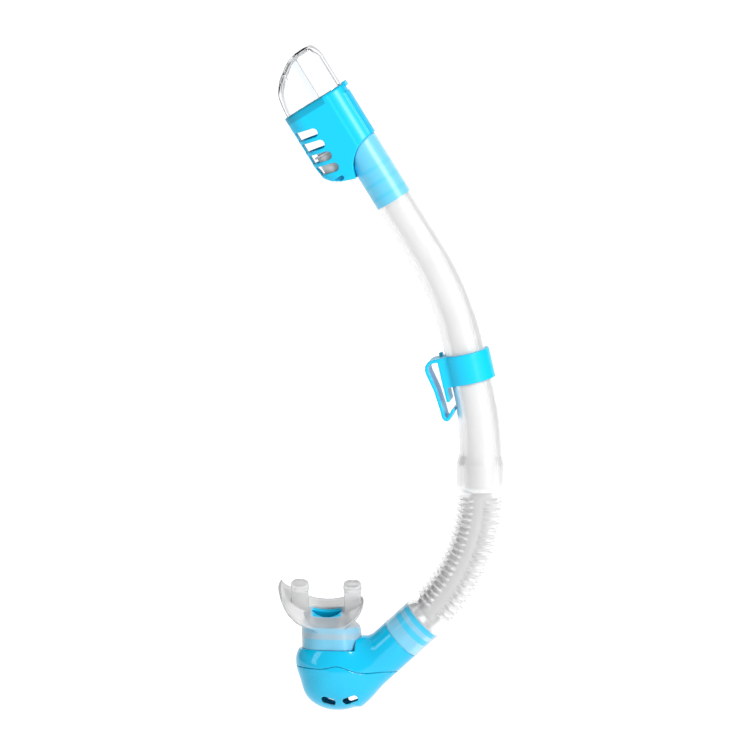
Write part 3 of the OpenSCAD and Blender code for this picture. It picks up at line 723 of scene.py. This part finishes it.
def add_tube():
    """Frosted tube with its cuff, whose tint shows the head's spigot with painted shade on the side away
    from the key light, and its bell.
    """
    outer, inner, tint = [], [], []
    edge = cuff_edge(TUBE_TOP_R)
    for share in np.linspace(1, 0, CUFF_RINGS, endpoint=False):
        soften = CUFF_SOFT if share == 1 else 0
        outer.append(round_ring(HEAD_BASE, HEAD_TILT, TUBE_TOP_R - soften, share * edge))
        ribs = sum(np.exp(-((share * edge - level) / 1.2) ** 2) for level in BARB_LEVELS)
        # the spigot's blue seen through the cuff, plus painted shade: deeper on the front side, away from
        # the key light
        tint.append(CUFF_TINT - 0.05 * np.cos(ANGLES) + BARB_TINT * ribs)
    outer.append(round_ring(HEAD_BASE, HEAD_TILT, TUBE_TOP_R, CUFF_FOOT))
    tint.append(tint[-1])
    for share in np.linspace(1, 0, CUFF_BORE_RINGS, endpoint=False):
        inner.append(round_ring(HEAD_BASE, HEAD_TILT, CUFF_BORE_R, share * edge))
    inner.append(round_ring(HEAD_BASE, HEAD_TILT, CUFF_BORE_R, CUFF_FOOT))
    stations = tube_stations()
    for point, tilt, radius in stations:
        outer.append(round_ring(point, tilt, radius))
    for point, tilt, radius in stations[:1 - len(BELL_PROFILE)]:
        inner.append(round_ring(point, tilt, radius - TUBE_WALL))
    for drop, radius in ((6.6, TUBE_R_LOW - TUBE_WALL), (BELL_STEP, BELL_BORE_R), (BELL_LIP, BELL_BORE_R)):
        inner.append(round_ring(BELL_TOP + drop * down(0), 0, radius))
    tint += [np.zeros(TURN)] * (len(outer) + len(inner) - len(tint))
    piece = sweep("frosted_tube", outer + inner[::-1], FROSTED, np.concatenate(tint))
    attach(piece, "tube")
    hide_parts("upper_tube")


# ---------------------------------------------------------------- hose
RIB_COUNT, STEPS_PER_RIB, CORE_R, RIB_R, HOSE_BORE_R, SLEEVE_BORE_R = 19, 10, 12.5, 15.5, 10.5, 11.42
RIBS_FROM, PLAIN_TURN = 1.6, 6  # degrees of the bend before the first rib, and of the bend without ribs
STRIP_HALF, STRIP_FADE = 0.03, 0.05  # the smooth strips and their edges, as 1 - |sin| of the ring's angle
BEND_RINGS = 40
# the stretch in the bell: distance below the bell's mouth, and radius
HOSE_SLEEVE = ((-17.4, 11.6), (-17.4, 13.5), (-9, 13.55), (-0.4, 13.55), (0, 13.3))
# the lower cuff: distance from the hose's end, radius, and share of the spigot's blue
HOSE_CUFF = ((-4.6, 12.5, 0), (-3.6, 13.0, 0), (-0.9, 14.9, 0), (-0.3, 15.3, 0), (0.3, 15.5, 0.1),
             (1.0, 15.45, 0.94), (1.4, 15.2, 0.94), (4.3, 15.2, 0.94), (4.7, 15.2, 0.7), (7.8, 15.2, 0.7),
             (8.2, 15.2, 0.94), (11.8, 15.2, 0.94), (12.2, 15.2, 0.72), (19.4, 15.2, 0.76),
             (19.9, 15.4, 0.76), (21.0, 15.4, 0.76), (21.35, 15.2, 0.76), (21.4, 14.95, 0.76))
# its bore: distance from the hose's end, and radius
HOSE_CUFF_BORE = ((21.2, 14.85), (10, 14.85), (0.2, 14.85), (0, 14.4), (-0.2, 10.6))


def rib_height(share):
    """Share of a rib's height at a place between 0 and 1 of its pitch: a thin, leaning, rounded fin."""
    rise, top, fall = 0.30, 0.52, 0.80
    if share < rise or share > fall:
        return 0.0
    t = (share - rise) / (top - rise) if share < top else (fall - share) / (fall - top)
    return sin(min(t, 1) * pi / 2) ** 0.8


def add_hose():
    """Corrugated hose; its ribs stop at a smooth strip down the front and the back."""
    from_strip = np.abs(np.abs(np.sin(ANGLES)) - 1)
    fade = np.clip((from_strip - STRIP_HALF) / STRIP_FADE, 0, 1)
    fade = fade * fade * (3 - 2 * fade)
    outer = [round_ring(BELL_END + d * down(0), 0, r) for d, r in HOSE_SLEEVE]
    ribbed = HOSE_TURN - PLAIN_TURN
    for k in range(RIB_COUNT * STEPS_PER_RIB + 1):
        rib = rib_height((k % STEPS_PER_RIB) / STEPS_PER_RIB)
        tilt = -RIBS_FROM - k / (RIB_COUNT * STEPS_PER_RIB) * ribbed
        radius = CORE_R + (RIB_R - CORE_R) * rib * fade
        outer.append(round_ring(HOSE_CENTRE + HOSE_BEND * side(tilt), tilt, radius))
    tint = [0.0] * len(outer)
    for d, r, blue in HOSE_CUFF:
        outer.append(round_ring(HOSE_END + d * down(-HOSE_TURN), -HOSE_TURN, r))
        tint.append(blue)
    inner = [round_ring(HOSE_END + d * down(-HOSE_TURN), -HOSE_TURN, r) for d, r in HOSE_CUFF_BORE]
    for t in np.linspace(1, 0, BEND_RINGS):
        tilt = -HOSE_TURN * t
        inner.append(round_ring(HOSE_CENTRE + HOSE_BEND * side(tilt), tilt, HOSE_BORE_R))
    inner += [round_ring(BELL_END + d * down(0), 0, SLEEVE_BORE_R) for d in (-0.5, -9, -17.2)]
    tint += [0.0] * len(inner)
    piece = sweep("silicone_hose", outer + inner, SILICONE, np.repeat(tint, TURN))
    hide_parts("corrugated_hose")
    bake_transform(piece)


# ---------------------------------------------------------------- keeper
# lengths in the land's frame: +Z up the tube from the land's middle, +X towards its back
BAND_R, BAND_HALF, BAND_BORE_R, WIRE_R = 15.9, 10, 13.7, 1.05
EAR_SPAN, TONGUE_AT, TONGUE_HALF = (-18.3, 0), (17.2, 6), (1.1, 13.7)
TAB = ((-18.2, -16), (3, 9), (0, 12.4))  # its spans in x, y and z
HOOK_ROUTE = [(-13.5, 8.4), (-19.6, 8.95), (-22.6, 8.9), (-24.6, 8.1), (-26.1, 6.6), (-26.8, 4.6),
              (-26.7, 2), (-24, -10), (-22.9, -22.6), (-22.7, -28.4), (-22.1, -30.2), (-20.8, -31),
              (-19.4, -30.4), (-15.4, -25.6)]


def keeper(x, y, z):
    """Band round the tube with the strap's hook, its tongue and a small tab."""
    depth = np.abs(y) - BAND_HALF
    hook = smooth_max(route(x, z, HOOK_ROUTE) - WIRE_R, depth, 0.5)
    tongue = smooth_max(block(x + TONGUE_AT[0], z + TONGUE_AT[1], *TONGUE_HALF, WIRE_R), depth, 0.5)
    band = smooth_max(rod(x, y, BAND_R), np.abs(z) - BAND_HALF, 0.5)
    ear = smooth_max(smooth_max(between(x, *EAR_SPAN), depth, 0.6), np.abs(z) - BAND_HALF, 0.5)
    tab = smooth_max(smooth_max(between(x, *TAB[0]), between(y, *TAB[1]), 0.4), between(z, *TAB[2]), 0.4)
    solid = np.minimum(smooth_min(smooth_min(band, ear, 1.2), smooth_min(hook, tongue, 0.3), 0.6), tab)
    return smooth_max(solid, BAND_BORE_R - np.hypot(x, y), 0.4)


def add_keeper():
    """Strap keeper."""
    piece = carve("strap_keeper", keeper, LAND, (-29.5, -17.5, -33.5), (17.5, 17.5, 14), FINE, CYAN)
    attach(piece, "keeper")
    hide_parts("mask_keeper")


# ---------------------------------------------------------------- purge chamber
# lengths in the bowl's frame: +Z up, leaning with the mouthpiece, from the middle of the bowl
BOWL_R, BOWL_DEEP, BRANCH_R, BRANCH_THIN, SHOULDER, SEAM_GAP = 28.0, 22, 15.2, 1.6, 13.8, 0.16
NECK_AT, NECK_HALF, NECK_BEAD, NECK_TOP = 4.3, (18.0, 15.2), (18.3, 15.5), 28.3
BORE_AT, NECK_BORE, LINER_OUT, LINER_BORE = 4.5, (16.2, 13.2), (16.15, 13.15), (14.4, 11.4)
HOSE_SPIGOT_R, HOSE_BARB_R, BRANCH_BORE_R = 14.2, 14.75, 11
BARBS = ((0.3, 4.5), (8, 12))  # where the hose's spigot stands proud, from the hose's end
FLOOR, FLOOR_HOLE_R = (-6, -4.2), 15
SLEEVE_SEAT_AT, SLEEVE_SEAT = 4.1, (20.6, 17.3)  # the ledge that takes the mouthpiece's sleeve
# each vent: middle, turn in degrees, half length and half height
VENTS = (((-4.3, -20.4), -16, 4.9, 2.3), ((10.3, -19.4), 20, 5.2, 2.2))


def branch_frame(x, y, z):
    """Across, deep and up in the frame of the branch to the hose, from the end of the hose's cuff."""
    lean = radians(NECK_LEAN)
    level_y, level_z = y * cos(lean) + z * sin(lean), -y * sin(lean) + z * cos(lean)
    tilt = radians(-HOSE_TURN)
    dx, dz = x - (CUFF_END - BOWL)[0], level_z - (CUFF_END - BOWL)[1]
    return dx * cos(tilt) + dz * sin(tilt), level_y, -dx * sin(tilt) + dz * cos(tilt)


def bowl_form(x, y, z):
    """The chamber's outer form: an egg-shaped bowl, blended with the branch to the hose."""
    turn = np.mod(np.arctan2(z, x + 1), 2 * pi)
    # the silhouette is nearly straight under the seam on the left, and fuller at the lower right
    reach = (BOWL_R + swell(turn, 1.0, 2.72, 0.28) + swell(turn, -2.5, 3.45, 0.36)
             + swell(turn, 1.2, 5.45, 0.4))
    bowl = (np.sqrt(((x + 1) ** 2 + z ** 2) / reach ** 2 + (y / BOWL_DEEP) ** 2) - 1) * reach
    across, deep, up = branch_frame(x, y, z)
    thinner = BRANCH_THIN * np.clip((-up - 26) / 20, 0, 1)
    branch = smooth_max(rod(across, deep, BRANCH_R - thinner), between(up, -48, -0.1), 0.4)
    return smooth_min(bowl, branch, 9)


def seam(x):
    """Height of the wavy seam between the chamber and the purge cover."""
    return 2.0 - 0.035 * np.maximum(x + 26, 0) + swell(x, 2.6, 2, 7) + swell(x, -1.4, 20, 8)


def chamber_spigots(x, y, z):
    """The oval spigot under the mouthpiece's sleeve and the barbed one in the hose's cuff."""
    across, deep, up = branch_frame(x, y, z)
    neck = np.maximum(oval(x + NECK_AT, y, *NECK_HALF), between(z, 8, NECK_TOP))
    bead = smooth_max(oval(x + NECK_AT, y, *NECK_BEAD), between(z, 25.0, 28.4), 0.4)
    hose = np.maximum(rod(across, deep, HOSE_SPIGOT_R), between(up, -3, CUFF_LENGTH - 0.5))
    for low, high in BARBS:
        stretch_up = between(up, CUFF_LENGTH - high, CUFF_LENGTH - low)
        hose = np.minimum(hose, smooth_max(rod(across, deep, HOSE_BARB_R), stretch_up, 0.3))
    return np.minimum(neck, bead), hose


def chamber_room(x, y, z, form):
    """The air inside: the bowl, the hole in its floor, and the bores to the mouthpiece and hose."""
    across, deep, up = branch_frame(x, y, z)
    room = np.maximum(np.maximum(form + 2, -between(z, *FLOOR)), z - SHOULDER + 2)
    room = np.minimum(room, np.maximum(rod(x, y, FLOOR_HOLE_R), between(z, -9, 0)))
    bores = np.minimum(np.maximum(oval(x + BORE_AT, y, *NECK_BORE), 2 - z),
                       np.maximum(rod(across, deep, BRANCH_BORE_R), -20 - up))
    return np.minimum(room, bores)


def chamber_top(x, y, z):
    """The chamber above the seam, cut to take the sleeve, with its spigots, floor and inner skirt."""
    form = bowl_form(x, y, z)
    sleeve = np.minimum(oval(x + SLEEVE_SEAT_AT, y, *SLEEVE_SEAT), x - 13)
    sleeve = np.maximum(sleeve, SHOULDER - z)
    solid = smooth_max(smooth_max(form, -sleeve, 0.3), seam(x) + SEAM_GAP - z, 0.4)
    neck, hose = chamber_spigots(x, y, z)
    solid = np.minimum(np.minimum(solid, neck), hose)
    solid = smooth_max(solid, -chamber_room(x, y, z, form), 0.3)
    floor = np.maximum(np.maximum(form + 2.2, between(z, *FLOOR)), FLOOR_HOLE_R - np.hypot(x, y))
    skirt = np.maximum(np.maximum(form + 2.05, -(form + 3.8)), between(z, -6, 9))
    return np.minimum(solid, np.minimum(floor, skirt))


def cover_vent(x, z, centre, turn, half_long, half_high):
    """Oval hole through the cover, seen from the front."""
    tilt = radians(turn)
    dx, dz = x - centre[0], z - centre[1]
    along_slot, across_slot = dx * cos(tilt) + dz * sin(tilt), -dx * sin(tilt) + dz * cos(tilt)
    return oval(along_slot, across_slot, half_long, half_high)


def purge_cover(x, y, z):
    """The chamber below the seam, with its vents."""
    form = bowl_form(x, y, z)
    shell = np.maximum(form, -(form + 2))
    shell = smooth_max(shell, z - seam(x) + SEAM_GAP, 0.4)
    vents = np.minimum(*(cover_vent(x, z, *vent) for vent in VENTS))
    return smooth_max(shell, -np.maximum(vents, 2 - np.abs(y)), 0.8)


def spigot_liner(x, y, z):
    """Stiff oval ring at the mouth of the neck's spigot."""
    wall = np.maximum(oval(x + BORE_AT, y, *LINER_OUT), -oval(x + BORE_AT, y, *LINER_BORE))
    return smooth_max(wall, between(z, 25.6, 28.6), 0.4)


def add_chamber():
    """Chamber, purge cover and the spigot's liner."""
    piece = carve("chamber_moulding", chamber_top, CHAMBER, (-31, -25, -9), (66, 25, 50), FINE, BLUE)
    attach(piece, "chamber")
    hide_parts("chamber_body")
    piece = carve("purge_cover_moulding", purge_cover, CHAMBER, (-31, -25, -30), (52, 25, 8), FINE, BLUE)
    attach(piece, "chamber")
    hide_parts("purge_cover")
    low, high = (-22, -15, 24), (13, 15, 30)
    piece = carve("spigot_liner_moulding", spigot_liner, CHAMBER, low, high, FINE, BLUE)
    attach(piece, "chamber")
    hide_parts("mouthpiece_insert")


# ---------------------------------------------------------------- mouthpiece
# mx, my and mz are lengths in the mouth's frame: mz out of the slit, mx along it
FLANGE_BEND, FLANGE_HALF, FLANGE_SHIFT, FLANGE_MID = 31, (28.6, 15.6), 3.6, 0.9
LUG_AT, LUG_RAISE, LUG_WEB, LUG_PAD = 17.6, 0.5, (5.6, 2.1), (6.0, 4.6)
SLEEVE_TOP, SLEEVE_WALL, THROAT_HALF, SLIT_HALF, SLIT_R = 32, 0.9, (14.6, 8.0), 11.4, 13.2
# share of the spigot's blue in the sleeve, at heights in the bowl's frame
SLEEVE_BLUE = ((13.8, 20.8, 21.4, 24.8, 25.2, 28.3, 29.2, 33), (0.76, 0.76, 0.4, 0.4, 0.6, 0.6, 0.1, 0))


def bite_lug(mx, my, mz, bend, s):
    """A web that stands off the flange, with a rounded pad at its end."""
    lug_x = mx - s * LUG_AT
    web = smooth_max(block(lug_x, my - LUG_RAISE, *LUG_WEB, 0.8), between(mz, 2, 25), 0.8)
    web = np.maximum(web, bend - FLANGE_BEND - FLANGE_MID)
    pad = smooth_max(oval(lug_x, my - LUG_RAISE, *LUG_PAD), between(mz, 21.5, 27.5), 1.6)
    return smooth_min(web, pad, 1.0)


def mouth_room(mx, my, mz, z, sleeve):
    """The air inside: the sleeve's cavity and the passage to the slit."""
    cavity = smooth_max(sleeve + SLEEVE_WALL, z - 29.6, 3)
    slit = smooth_max(my - 2.2, np.hypot(mx, my - 9.6) - SLIT_R, 1.2)
    slit = smooth_max(slit, np.abs(mx) - SLIT_HALF, 1.0)
    return smooth_min(cavity, np.maximum(slit, between(mz, -16, 8)), 2.5)


def mouthpiece(x, y, z):
    """Silicone mouthpiece, in the bowl's frame."""
    mx, my, mz = seen_from(CHAMBER.inverted() @ MOUTH, x, y, z)
    taper = np.clip((z - SHOULDER) / 18, 0, 1)
    sleeve = oval(x + 4.1 + 0.35 * taper, y, 20.5 - 1.3 * taper, 17.2 - 0.9 * taper)
    sleeve = smooth_max(sleeve, z - SLEEVE_TOP, 6)
    throat = np.maximum(oval(mx, my, *THROAT_HALF), between(mz, -13, 3))
    outer = smooth_min(sleeve, throat, 7)
    bend = np.hypot(mx, mz - FLANGE_BEND)
    outer = np.maximum(outer, FLANGE_BEND - bend)
    rim = oval(mx + FLANGE_SHIFT, my, *FLANGE_HALF)
    thick = 0.95 + 0.45 * np.clip((rim + 3) / 3, 0, 1)
    flange = smooth_max(np.abs(bend - FLANGE_BEND - FLANGE_MID) - thick, rim, 1.2)
    flange = np.maximum(flange, mz - 24)
    solid = smooth_min(outer, flange, 2.0)
    for s in (-1, 1):
        solid = smooth_min(solid, bite_lug(mx, my, mz, bend, s), 1.0)
    solid = smooth_max(solid, -mouth_room(mx, my, mz, z, sleeve), 0.5)
    return np.maximum(solid, SHOULDER + 0.08 - z)


def mouth_shade(x, y, z):
    """Blue where the spigot stands behind the sleeve, and inside the slit."""
    mx, my, mz = seen_from(CHAMBER.inverted() @ MOUTH, x, y, z)
    inside = np.clip(1.6 - np.maximum(oval(mx, my, 12.5, 3.4), between(mz, -6, 1.2)), 0, 1)
    return np.maximum(np.interp(z, *SLEEVE_BLUE), inside)


def add_mouthpiece():
    """Mouthpiece with its sleeve, flange and bite lugs."""
    low, high = (-44, -40, 13), (27, 24, 68)
    piece = carve("silicone_mouthpiece", mouthpiece, CHAMBER, low, high, FINE, SILICONE, mouth_shade)
    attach(piece, "chamber")
    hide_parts("mouthpiece")


# ---------------------------------------------------------------- CAD pieces that stay
CAD_LOOKS = (("dome_gasket", MILKY), ("valve_seat_plate", CLEAR), ("float_cap", FOAM),
             ("float_seal", MILKY), ("hose_coupler", CLEAR), ("purge_valve_seat", CLEAR),
             ("purge_seat_gasket", MILKY), ("purge_valve", MILKY))


def dress_small_parts():
    """Materials of the pieces that keep their CAD shape."""
    for node, material in CAD_LOOKS:
        mesh = frame["nodes"][node].data
        mesh.materials.clear()
        mesh.materials.append(material)


add_camera()
add_studio()
add_head()
add_tube()
add_hose()
add_keeper()
add_chamber()
add_mouthpiece()
dress_small_parts()
